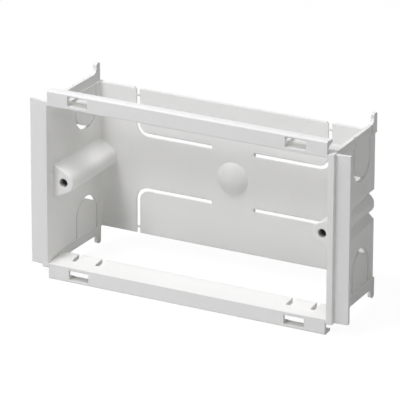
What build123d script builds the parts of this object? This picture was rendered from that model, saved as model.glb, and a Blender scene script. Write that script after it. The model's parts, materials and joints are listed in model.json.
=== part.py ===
from build123d import *
from math import acos, atan2, cos, hypot, radians, sin
import os

os.makedirs("parts", exist_ok=True)

# Two-gang back box for dado trunking: one white moulding, open at the top and at the bottom.
# Frame: X across the box, Z up, Y into the wall. The origin lies midway between the two
# accessory screw holes, on the faces of their bosses. Sizes are in millimetres.

# Accessory fixing
screw_pitch = 120.6      # standard distance between the two accessory screws
screw_hole_d = 3.8
screw_hole_depth = 30.0
boss_r = 4.65
boss_recess = 5.3        # from the front plane back to the boss faces
boss_edge_r = 0.6
groove_floor = 2.0       # groove floor at the back end, measured outwards from the screw axis
groove_mouth_half = 6.6  # half height of the outside groove pair at the wall's back end
groove_front_half = 8.8
groove_front_depth = 1.5
rib_half = 7.6           # half height of the rib at the wall's inner face

# Side walls
box_depth = 45.0
wall_t = 1.7
wall_gap = 4.9           # screw axis to the wall's inner face, at the front plane
wall_taper = 2.1         # how far each wall leans inwards over the depth
skirt_h = 3.8            # edge bands along the top and the bottom of the side walls
skirt_step = 1.0         # how far the edge bands stand out from the wall at their back end
skirt_lap = 0.7          # height shared by the wall and its edge band
skirt_back_gap = 0.6     # the edge bands stop short of the back face

# Front frame: edge strips and side flanges
strip_w = 2.6
strip_over = 0.4         # strips and flanges are this much taller than the side walls
flange_w = 6.35
flange_t = 1.4
flange_setback = 1.6
flange_lean = 0.65       # the flange leans back by this much at its outer edge
flange_short = 0.4       # each end of the flange stops short of the strip's end

# Front rails
rail_end_gap = 0.45      # rail end to the inner edge of the strip
lip_t = 1.4
channel_h = 2.8          # gap between shelf and hook that grips the trunking
hook_depth = 5.0
hook_root_t = 2.7
hook_tip_t = 1.0
hook_fall = 0.4          # slope of the outer face over the depth of the hook
shelf_depth = 12.4
shelf_root_t = 1.3
shelf_tip_t = 2.7
rail_edge_r = 0.7

# Snap tongues and the windows in front of them
tongue_inset = 14.3      # middle of a tongue to the end of the rail
tongue_w = 9.3
tongue_len = 6.4
slit_w = 1.9
window_w = 9.4
window_h = 4.3

# Back plate
plate_t = 1.9
plate_half_z = 32.6
ledge_h = 0.3            # wall ledge above the edge of the back plate
slot_w = 1.6
slot_inset = 18.1        # slot to the inner face of the wall
slot_z = 12.4
slot_end_x = 9.8
slot_corner_r = 5.0
slot_relief = 1.2        # the plate is thinned from behind this far on each side of a slot
slot_skin = 0.6
inner_corner_r = 1.2     # between the side walls and the back plate
web_inset = 2.8          # thin webs near the plate's edge that hold the slotted panels
web_h = 0.8
dome_r = 7.3
dome_h = 2.6

# Cable entry knock-outs in the side walls
arch_y = 31.2            # middle of the arches, measured back from the front plane
arch_r = 8.1             # middle of the break line
arch_tip_z = 15.6
score_w = 0.7            # narrow score on the inner face
score_depth = 0.6
moat_w = 1.6             # wide groove on the outer face
moat_depth = 0.7
pry_span = 84.0          # angle covered by the pry hole at the tip of each arch
pry_turn = 24.0          # turned to the front in the upper arches, to the back in the lower ones
pry_height = 1.8

# Prongs at the rear corners
prong_w = 2.9
prong_short = 1.1        # prong tips lie this much inside the outer faces of the rails
prong_root_r = 2.6

hole_x = screw_pitch / 2
front_y = -boss_recess
back_y = front_y + box_depth
plate_y = back_y - plate_t
skirt_back_y = back_y - skirt_back_gap
wall_half_in = hole_x + wall_gap
strip_out = wall_half_in + strip_w
side_reach = strip_out + flange_w
wall_half_z = plate_half_z + ledge_h
skirt_half_z = wall_half_z + skirt_h
shelf_y = front_y + shelf_depth
rail_half_x = wall_half_in - rail_end_gap
rail_half_z = skirt_half_z + channel_h + hook_root_t
tongue_x = rail_half_x - tongue_inset
arch_centre = Vector(front_y + arch_y, arch_tip_z + arch_r)
pry_r = arch_r + score_w / 2
strip_half_z = skirt_half_z + strip_over
prong_tip_z = rail_half_z - prong_short


def wall_inner_x(y):
    return wall_half_in - wall_taper * (y - front_y) / box_depth


slot_x = wall_inner_x(plate_y) - slot_inset


def wall_plan(y_end, step=0.0, inner_cut=0.0, outer_cut=0.0):
    """Plan of the right wall back to y_end, where it has moved outwards by step."""
    far = wall_inner_x(y_end) + step
    return make_face(Polyline(
        (wall_half_in + inner_cut, front_y),
        (far + inner_cut, y_end),
        (far + wall_t - outer_cut, y_end),
        (wall_half_in + wall_t - outer_cut, front_y),
        close=True))


def side_wall(inner_cut=0.0, outer_cut=0.0):
    """Tapered wall with an edge band above and below that leans inwards less than the wall."""
    wall = extrude(wall_plan(back_y, 0.0, inner_cut, outer_cut), wall_half_z, both=True)
    band_plan = wall_plan(skirt_back_y, skirt_step, inner_cut, outer_cut)
    band = Pos(0, 0, wall_half_z - skirt_lap) * extrude(band_plan, skirt_h + skirt_lap)
    return wall + band + mirror(band, Plane.XY)


def arch_face(r, top_z):
    """Arch with its round end down and its legs up to top_z, drawn in the YZ plane."""
    left, right = arch_centre.X - r, arch_centre.X + r
    tip = ThreePointArc(
        (left, arch_centre.Y), (arch_centre.X, arch_centre.Y - r), (right, arch_centre.Y))
    legs = Polyline((right, arch_centre.Y), (right, top_z), (left, top_z), (left, arch_centre.Y))
    return Plane.YZ * make_face([tip, legs])


def arch_ring(width, top_z):
    """Band of the given width along the break line of an arch, run through the wall."""
    return extrude(arch_face(arch_r + width / 2, top_z) - arch_face(arch_r - width / 2, top_z), side_reach)


def arch_groove(score_top_z, moat_top_z):
    """Narrow score on the inner face and wide groove on the outer one, with a thin skin between."""
    score = arch_ring(score_w, score_top_z) - side_wall(inner_cut=score_depth)
    moat = arch_ring(moat_w, moat_top_z) - side_wall(outer_cut=moat_depth)
    return score + moat


def pry_hole(turn):
    """Through hole at the tip of an arch, where a screwdriver lifts the panel out."""
    half = radians(pry_span / 2)
    middle = radians(turn - 90)
    ends = [arch_centre + Vector(cos(middle + s * half), sin(middle + s * half)) * pry_r for s in (-1, 1)]
    axis = Vector(cos(middle), sin(middle))
    outer = ThreePointArc(ends[0], arch_centre + axis * pry_r, ends[1])
    inner = ThreePointArc(ends[1], arch_centre + axis * (pry_r - pry_height), ends[0])
    return extrude(Plane.YZ * make_face([outer, inner]), side_reach)


def knock_outs():
    """Upper cable entry, open at the wall's top edge, and the lower one, closed by the band."""
    upper = arch_groove(wall_half_z, skirt_half_z + 1) + pry_hole(-pry_turn)
    lower = arch_groove(wall_half_z - skirt_lap, wall_half_z - skirt_lap) + pry_hole(pry_turn)
    return upper + mirror(lower, Plane.XY)


def groove_section(y, depth, mouth_half):
    """Wedge at one depth whose two slanting sides cut the V grooves into the wall's outer face."""
    outer_x = wall_inner_x(y) + wall_t
    floor_z = (boss_r ** 2 - groove_floor ** 2) ** 0.5
    reach = side_reach - outer_x
    reach_z = mouth_half + (mouth_half - floor_z) * reach / depth
    return Plane.XZ.offset(-y) * make_face(Polyline(
        (outer_x - depth, floor_z), (outer_x + reach, reach_z),
        (outer_x + reach, -reach_z), (outer_x - depth, -floor_z),
        close=True))


def boss_grooves():
    """Pair of V grooves on the outside of the right wall that leave the boss standing round.

    They grow wider and shallower towards the front.
    """
    back_depth = wall_inner_x(back_y) + wall_t - hole_x - groove_floor
    wedge = loft([
        groove_section(back_y, back_depth, groove_mouth_half),
        groove_section(front_y, groove_front_depth, groove_front_half)])
    boss = extrude(Plane.XZ.offset(-back_y) * (Pos(hole_x, 0) * Circle(boss_r)), box_depth)
    return wedge - boss


def rib_section(y):
    """Rib between the boss and the right wall at one depth, tangent to the boss."""
    gap = wall_inner_x(y) - hole_x
    angle = atan2(rib_half, gap) + acos(boss_r / hypot(gap, rib_half))
    touch = Vector(boss_r * cos(angle), boss_r * sin(angle))
    slope = (rib_half - touch.Y) / (gap - touch.X)
    root = Vector(gap + wall_t / 2, rib_half + slope * wall_t / 2)
    face = make_face(Polyline(
        (root.X, root.Y), (touch.X, touch.Y), (touch.X, -touch.Y), (root.X, -root.Y), close=True))
    return Plane.XZ.offset(-y) * Pos(hole_x, 0) * face


def boss_rib():
    """Screw boss and the rib that joins it to the right wall, from the boss face to the back."""
    boss = extrude(Plane.XZ * Pos(hole_x, 0) * Circle(boss_r), -back_y)
    bar = boss + loft([rib_section(0), rib_section(back_y)])
    bar = fillet(bar.faces().sort_by(Axis.Y)[0].edges(), boss_edge_r)
    room = make_face(Polyline(
        (0, front_y), (wall_half_in + wall_t, front_y),
        (wall_inner_x(back_y) + wall_t, back_y), (0, back_y),
        close=True))
    return bar & extrude(room, wall_half_z, both=True)


def screw_hole():
    return extrude(Plane.XZ * (Pos(hole_x, 0) * Circle(screw_hole_d / 2)), -screw_hole_depth)


def edge_strip():
    """Front edge strip of the right wall, chamfered back into the wall behind it."""
    back = front_y + flange_setback + flange_t
    plan = make_face(Polyline(
        (wall_half_in, front_y), (strip_out, front_y), (strip_out, back), (wall_inner_x(back), back),
        close=True))
    return extrude(plan, strip_half_z, both=True)


def edge_flange():
    """Flat flange beside the strip, leaning back a little towards its outer edge."""
    face_y = front_y + flange_setback
    plan = make_face(Polyline(
        (strip_out - wall_t, face_y),
        (strip_out, face_y),
        (side_reach, face_y + flange_lean),
        (side_reach, face_y + flange_lean + flange_t),
        (strip_out, face_y + flange_t),
        (strip_out - wall_t, face_y + flange_t),
        close=True))
    return extrude(plan, strip_half_z - flange_short, both=True)


def prong_in_band(face):
    """Gives a prong drawn in the YZ plane the thickness and the lean of the edge band."""
    band = extrude(wall_plan(skirt_back_y, skirt_step), rail_half_z, both=True)
    return extrude(Plane.YZ * face, side_reach) & band


def upper_prong():
    """Prong on the top edge of the right wall, with a swept root in front of it."""
    length = prong_tip_z - skirt_half_z + skirt_h
    blade = Pos(skirt_back_y - prong_w / 2, prong_tip_z - length / 2) * Rectangle(prong_w, length)
    blade = fillet(blade.vertices().sort_by(Axis.Y)[-2:], prong_w * 0.42)
    corner_y = skirt_back_y - prong_w
    foot = Pos(corner_y - prong_root_r / 2, skirt_half_z + prong_root_r / 2)
    foot = foot * Rectangle(prong_root_r, prong_root_r)
    foot -= Pos(corner_y - prong_root_r, skirt_half_z + prong_root_r) * Circle(prong_root_r)
    return prong_in_band(blade + foot)


def lower_prong():
    """Plain peg with a rounded end on the bottom edge of the right wall."""
    length = prong_tip_z - skirt_half_z + skirt_h
    blade = Pos(skirt_back_y - prong_w / 2, length / 2 - prong_tip_z) * Rectangle(prong_w, length)
    blade = fillet(blade.vertices().sort_by(Axis.Y)[:2], prong_w * 0.48)
    return prong_in_band(blade)


def inner_corner():
    """Fillet where the right wall meets the back plate."""
    y = plate_y - inner_corner_r
    axis = Pos(wall_inner_x(y) - inner_corner_r, y)
    block = Rectangle(inner_corner_r + wall_t / 2, inner_corner_r + plate_t / 2, align=Align.MIN)
    return extrude(axis * (block - Circle(inner_corner_r)), plate_half_z, both=True)


def right_side():
    solid = side_wall() + boss_rib() + inner_corner() - boss_grooves()
    solid += edge_strip() + edge_flange()
    solid -= screw_hole()
    solid -= knock_outs()
    return solid + upper_prong() + lower_prong()


def shelf_section():
    """Inner shelf of the upper rail: level outside, sloping towards the box inside."""
    return make_face(Polyline(
        (front_y, skirt_half_z - shelf_root_t),
        (front_y, skirt_half_z),
        (shelf_y, skirt_half_z),
        (shelf_y, skirt_half_z - shelf_tip_t),
        close=True))


def hook_section():
    """Front lip of the upper rail with the tapered hook along its outer edge."""
    tip_y = front_y + hook_depth
    face = make_face(Polyline(
        (front_y, skirt_half_z - shelf_root_t),
        (front_y, rail_half_z),
        (tip_y, rail_half_z - hook_fall),
        (tip_y, rail_half_z - hook_fall - hook_tip_t),
        (front_y + lip_t, rail_half_z - hook_root_t),
        (front_y + lip_t, skirt_half_z - shelf_root_t),
        close=True))
    edge = face.vertices().sort_by_distance((front_y, rail_half_z, 0))[0]
    return fillet(edge, rail_edge_r)


def snap_cuts():
    """Window in the front lip and the two slits that free the tongue behind it."""
    window = Pos(tongue_x, front_y + hook_depth / 2, skirt_half_z + window_h / 2)
    cuts = window * Box(window_w, hook_depth + 2, window_h)
    for s in (-1, 1):
        slit = Pos(tongue_x + s * (tongue_w + slit_w) / 2, shelf_y, skirt_half_z)
        cuts += slit * Box(slit_w, 2 * tongue_len, 3 * shelf_tip_t)
    return cuts


def top_rail():
    """Upper rail, with its shelf run on into the side walls."""
    shelf_half = wall_half_in + skirt_step + wall_t / 4
    bar = extrude(Plane.YZ * (hook_section() + shelf_section()), rail_half_x, both=True)
    bar += extrude(Plane.YZ * shelf_section(), shelf_half, both=True)
    cuts = snap_cuts()
    return bar - cuts - mirror(cuts, Plane.YZ)


def panel_slots(width):
    """Four L-shaped paths of the given width, one round each quarter of the back plate."""
    path = FilletPolyline(
        (slot_end_x, slot_z), (slot_x, slot_z), (slot_x, plate_half_z + 1), radius=slot_corner_r)
    quarter = trace(path, width)
    half = quarter + mirror(quarter, Plane.XZ)
    return half + mirror(half, Plane.YZ)


def back_plate():
    """Back plate with slots that outline two large removable panels, thinned along the slots."""
    half_x = wall_inner_x(plate_y) + wall_t / 2
    slots = panel_slots(slot_w)
    for x in (-slot_x, slot_x):
        for z in (-1, 1):
            slots -= Pos(x, z * (plate_half_z - web_inset)) * Rectangle(2 * slot_w, web_h)
    outline = Rectangle(2 * half_x, 2 * plate_half_z)
    thick = extrude(Plane.XZ * (outline - panel_slots(slot_w + 2 * slot_relief)), -plate_t)
    skin = extrude(Plane.XZ * (outline - slots), -slot_skin)
    plate = Pos(0, plate_y, 0) * (thick + skin)
    grooves = boss_grooves()
    return plate - grooves - mirror(grooves, Plane.YZ)


def centre_dome():
    """Low round dome in the middle of the back plate, turned from its arc."""
    tip = (0, plate_y - dome_h)
    rim = (dome_r, plate_y)
    r = (dome_r ** 2 + dome_h ** 2) / (2 * dome_h)
    arc = RadiusArc(tip, rim, -r)
    sunk = plate_y + plate_t / 2
    half = make_face([arc, Polyline(rim, (dome_r, sunk), (0, sunk), tip)])
    return revolve(half, Axis.Y)


side = right_side()
rail = top_rail()
back_box = side + mirror(side, Plane.YZ)
back_box += back_plate()
back_box += rail + mirror(rail, Plane.XY)
back_box += centre_dome()
back_box.label = "back_box"

export_step(back_box, "parts/back_box.step")
print("solids", len(back_box.solids()), "volume", round(back_box.volume, 1))
print("box", back_box.bounding_box())
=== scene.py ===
import json
import math

import bpy
from mathutils import Matrix, Vector


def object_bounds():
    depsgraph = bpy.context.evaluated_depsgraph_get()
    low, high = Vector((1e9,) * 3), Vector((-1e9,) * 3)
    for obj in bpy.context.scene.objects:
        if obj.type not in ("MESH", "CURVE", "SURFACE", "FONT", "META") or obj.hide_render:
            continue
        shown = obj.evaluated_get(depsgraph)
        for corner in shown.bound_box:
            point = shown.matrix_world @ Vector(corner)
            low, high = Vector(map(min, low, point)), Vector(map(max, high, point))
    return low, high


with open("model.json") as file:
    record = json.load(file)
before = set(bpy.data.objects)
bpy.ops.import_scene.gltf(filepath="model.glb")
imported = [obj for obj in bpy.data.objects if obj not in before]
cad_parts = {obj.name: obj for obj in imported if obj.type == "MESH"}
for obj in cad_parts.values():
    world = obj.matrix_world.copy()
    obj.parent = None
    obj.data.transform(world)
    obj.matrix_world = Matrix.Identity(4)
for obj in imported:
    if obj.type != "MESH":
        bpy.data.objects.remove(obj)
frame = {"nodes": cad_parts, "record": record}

cad_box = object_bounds()

# The camera stands in front of the box, above it and to its right, and sees into it both over
# and under the upper rail. A long lens keeps the slight convergence of the photograph.
camera_azimuth = math.radians(27.65)
camera_elevation = math.radians(21.31)
camera_roll = math.radians(-0.16)
camera_distance = 1.7516
camera_aim = Vector((0.00471, -0.00079, 0.00463))
camera_film = 36.0
focal_length_in_frames = 10.638
nearest_seen = 0.05
farthest_seen = 30.0


def direction(azimuth, elevation):
    """Unit vector towards a point round the box: azimuth from its front to its right."""
    return Vector((
        math.sin(azimuth) * math.cos(elevation),
        -math.cos(azimuth) * math.cos(elevation),
        math.sin(elevation)))


back = direction(camera_azimuth, camera_elevation)
right = Vector((math.cos(camera_azimuth), math.sin(camera_azimuth), 0.0))
turn = Matrix((right, back.cross(right), back)).transposed() @ Matrix.Rotation(-camera_roll, 3, "Z")

bpy.ops.object.camera_add(location=camera_aim + back * camera_distance, rotation=turn.to_euler())
camera = bpy.context.object
camera.name = "camera"
camera.data.sensor_width = camera_film
camera.data.lens = focal_length_in_frames * camera_film
camera.data.clip_start = nearest_seen
camera.data.clip_end = farthest_seen
bpy.context.scene.camera = camera


# The box is one injection moulding in white plastic from a spark-finished tool: a dull satin with
# fine grain, faint streaks where the melt flowed and drag lines where it left the tool. Edges that
# face down are a little rounder than the rest, and the two screw holes have painted shade inside.
class Wire:
    """A shader socket that reads like a number: sums and products on it add Math nodes."""

    def __init__(self, tree, socket=None):
        self.tree = tree
        self.socket = socket

    def node(self, kind, settings, inputs, output=0):
        """Adds a node, sets it up and gives one of its outputs."""
        made = self.tree.nodes.new(kind)
        for name, value in settings.items():
            setattr(made, name, value)
        for name, value in inputs.items():
            if isinstance(value, Wire):
                self.tree.links.new(value.socket, made.inputs[name])
            else:
                made.inputs[name].default_value = value
        return Wire(self.tree, made.outputs[output]) if made.outputs else None

    def math(self, operation, *values):
        return self.node("ShaderNodeMath", {"operation": operation}, dict(enumerate(values)))

    def __abs__(self):
        return self.math("ABSOLUTE", self)

    def __add__(self, other):
        return self.math("ADD", self, other)

    def __radd__(self, other):
        return self.math("ADD", other, self)

    def __sub__(self, other):
        return self.math("SUBTRACT", self, other)

    def __rsub__(self, other):
        return self.math("SUBTRACT", other, self)

    def __mul__(self, other):
        return self.math("MULTIPLY", self, other)

    def __rmul__(self, other):
        return self.math("MULTIPLY", other, self)

    def __lt__(self, other):
        return self.math("LESS_THAN", self, other)

    def __gt__(self, other):
        return self.math("GREATER_THAN", self, other)


def blank_tree(owner):
    """Node tree of a material or world, emptied."""
    owner.use_nodes = True
    owner.node_tree.nodes.clear()
    return Wire(owner.node_tree)


plastic_white = (0.914, 0.912, 0.872, 1.0)
plastic_shade = (0.896, 0.894, 0.852, 1.0)
plastic_roughness = 0.6
plastic_ior = 1.5

flow_per_metre = 60.0
flow_stretch = (0.3, 1.0, 1.0)
flow_dulling = 0.08
grain_per_metre = 1800.0
grain_share = 0.6
grain_dulling = 0.06
drag_per_metre = 900.0
drag_stretch = (1.0, 0.04, 1.0)
drag_share = 0.4
noise_middle = 0.5
relief_strength = 0.10
relief_height = 0.00006

edge_radius = 0.0002
lower_edge_radius = 0.0007
downward_normal = -0.08

millimetre = 0.001
screws = next(
    mount["dims"] for mount in frame["record"]["mounts"] if mount["name"] == "accessory_screws")
screw_axis_x = screws["spacing_x_mm"] * millimetre / 2
screw_hole_r = screws["hole_r_mm"] * millimetre
screw_hole_margin = 1.02
screw_hole_end = 0.0305
# Painted shade in the screw holes: a dark colour that fades in from the boss face to full depth.
bore_painted_shade = (0.20, 0.20, 0.19, 1.0)
bore_painted_shade_start = 0.0002
bore_painted_shade_full = 0.0030

plastic = bpy.data.materials.new("white_moulded_plastic")
paint = blank_tree(plastic)
place = paint.node("ShaderNodeTexCoord", {}, {}, "Object")
x, y, z = (paint.node("ShaderNodeSeparateXYZ", {}, {"Vector": place}, axis) for axis in "XYZ")

across_flow = paint.node("ShaderNodeMapping", {}, {"Vector": place, "Scale": flow_stretch})
along_draw = paint.node("ShaderNodeMapping", {}, {"Vector": place, "Scale": drag_stretch})
grain = paint.node("ShaderNodeTexNoise", {}, {"Vector": place, "Scale": grain_per_metre, "Detail": 2.0})
flow = paint.node("ShaderNodeTexNoise", {}, {"Vector": across_flow, "Scale": flow_per_metre, "Detail": 3.0})
drag = paint.node("ShaderNodeTexNoise", {}, {"Vector": along_draw, "Scale": drag_per_metre, "Detail": 2.0})

from_axis = abs(x) - screw_axis_x
in_hole = from_axis * from_axis + z * z < (screw_hole_margin * screw_hole_r) ** 2
depth = paint.node("ShaderNodeMapRange", {}, {
    "Value": y, "From Min": bore_painted_shade_start, "From Max": bore_painted_shade_full})
# Mask of the painted shade: inside a screw hole, darker the deeper it lies behind the boss face.
painted_bore_shade_mask = in_hole * depth * (y < screw_hole_end)

skin_colour = paint.node(
    "ShaderNodeMix", {"data_type": "RGBA"}, {0: flow, 6: plastic_white, 7: plastic_shade}, 2)
# The painted shade of the screw holes goes over the plastic's own colour here.
colour = paint.node(
    "ShaderNodeMix", {"data_type": "RGBA"}, {0: painted_bore_shade_mask, 6: skin_colour, 7: bore_painted_shade}, 2)

sharp_edge = paint.node("ShaderNodeBevel", {"samples": 6}, {"Radius": edge_radius})
round_edge = paint.node("ShaderNodeBevel", {"samples": 8}, {"Radius": lower_edge_radius})
turned_down = paint.node("ShaderNodeSeparateXYZ", {}, {"Vector": round_edge}, "Z") < downward_normal
edges = paint.node(
    "ShaderNodeMix", {"data_type": "VECTOR"}, {0: turned_down, 4: sharp_edge, 5: round_edge}, 1)
relief = paint.node("ShaderNodeBump", {}, {
    "Strength": relief_strength, "Distance": relief_height,
    "Height": grain_share * grain + drag_share * drag, "Normal": edges})

dulling = flow_dulling * (flow - noise_middle) + grain_dulling * (grain - noise_middle)
surface = paint.node("ShaderNodeBsdfPrincipled", {}, {
    "Base Color": colour,
    "Roughness": plastic_roughness + dulling,
    "IOR": plastic_ior,
    "Normal": relief})
paint.node("ShaderNodeOutputMaterial", {}, {"Surface": surface})

box = frame["nodes"]["back_box"]
box.data.materials.clear()
box.data.materials.append(plastic)


# The floor is a plain sheet of white paper under the box. The camera sees it as white as the
# page of a catalogue, with the box's soft shadow left faint on it.
floor_half = 4.0
paper_colour = (0.70, 0.70, 0.70, 1.0)
page_white = (1.0, 1.0, 1.0, 1.0)
page_glow = 0.93
page_shadow_colour = (0.12, 0.12, 0.12, 1.0)

bpy.ops.object.select_all(action="DESELECT")
bpy.ops.mesh.primitive_plane_add(size=2 * floor_half, location=(0.0, 0.0, cad_box[0].z))
floor = bpy.context.object
floor.name = "floor"


def shown_rays(wires):
    """One where the background is looked at, straight or by way of a shiny or clear thing."""
    rays = [
        wires.node("ShaderNodeLightPath", {}, {}, name)
        for name in ("Is Camera Ray", "Is Glossy Ray", "Is Transmission Ray")]
    return rays[0] + rays[1] + rays[2]


paper = bpy.data.materials.new("white_paper")
sheet = blank_tree(paper)
lit = sheet.node("ShaderNodeBsdfDiffuse", {}, {"Color": paper_colour})
glow = sheet.node("ShaderNodeEmission", {}, {"Color": page_white, "Strength": page_glow})
shadowed = sheet.node("ShaderNodeBsdfDiffuse", {}, {"Color": page_shadow_colour})
page = sheet.node("ShaderNodeAddShader", {}, {0: glow, 1: shadowed})
paper_surface = sheet.node("ShaderNodeMixShader", {}, {0: shown_rays(sheet), 1: lit, 2: page})
sheet.node("ShaderNodeOutputMaterial", {}, {"Surface": paper_surface})
floor.data.materials.append(paper)


# The room round the box is plain white on all sides. The camera sees it as white as the page,
# and it gives the box a little even light that keeps its shadows open.
room_light = 0.14
backdrop_light = 1.0

world = bpy.data.worlds.new("white_room")
bpy.context.scene.world = world
air = blank_tree(world)
room = air.node("ShaderNodeBackground", {}, {"Color": page_white, "Strength": room_light})
backdrop = air.node("ShaderNodeBackground", {}, {"Color": page_white, "Strength": backdrop_light})
surroundings = air.node("ShaderNodeMixShader", {}, {0: shown_rays(air), 1: room, 2: backdrop})
air.node("ShaderNodeOutputWorld", {}, {"Surface": surroundings})


# Four softboxes light the box: a large key in front, above and a little to the left, a small one
# close over its upper left corner, one overhead from behind, and a weak one high on its right.
cool_white = (0.942, 0.94, 1.0)


def softbox(name, azimuth, elevation, distance, size, watts):
    """Square area lamp that faces the middle of the box."""
    way = direction(math.radians(azimuth), math.radians(elevation))
    bpy.ops.object.light_add(
        type="AREA", location=way * distance, rotation=way.to_track_quat("Z", "Y").to_euler())
    lamp = bpy.context.object
    lamp.name = name
    lamp.data.shape = "SQUARE"
    lamp.data.size = size
    lamp.data.energy = watts
    lamp.data.color = cool_white


softbox("key_softbox", azimuth=-22, elevation=40, distance=1.6, size=0.5, watts=8.3)
softbox("upper_left_softbox", azimuth=-45, elevation=70, distance=0.5, size=0.12, watts=1.12)
softbox("overhead_softbox", azimuth=180, elevation=75, distance=0.85, size=0.25, watts=1.19)
softbox("right_fill", azimuth=55, elevation=42, distance=0.85, size=0.25, watts=0.64)

bpy.context.scene.view_settings.view_transform = "Standard"
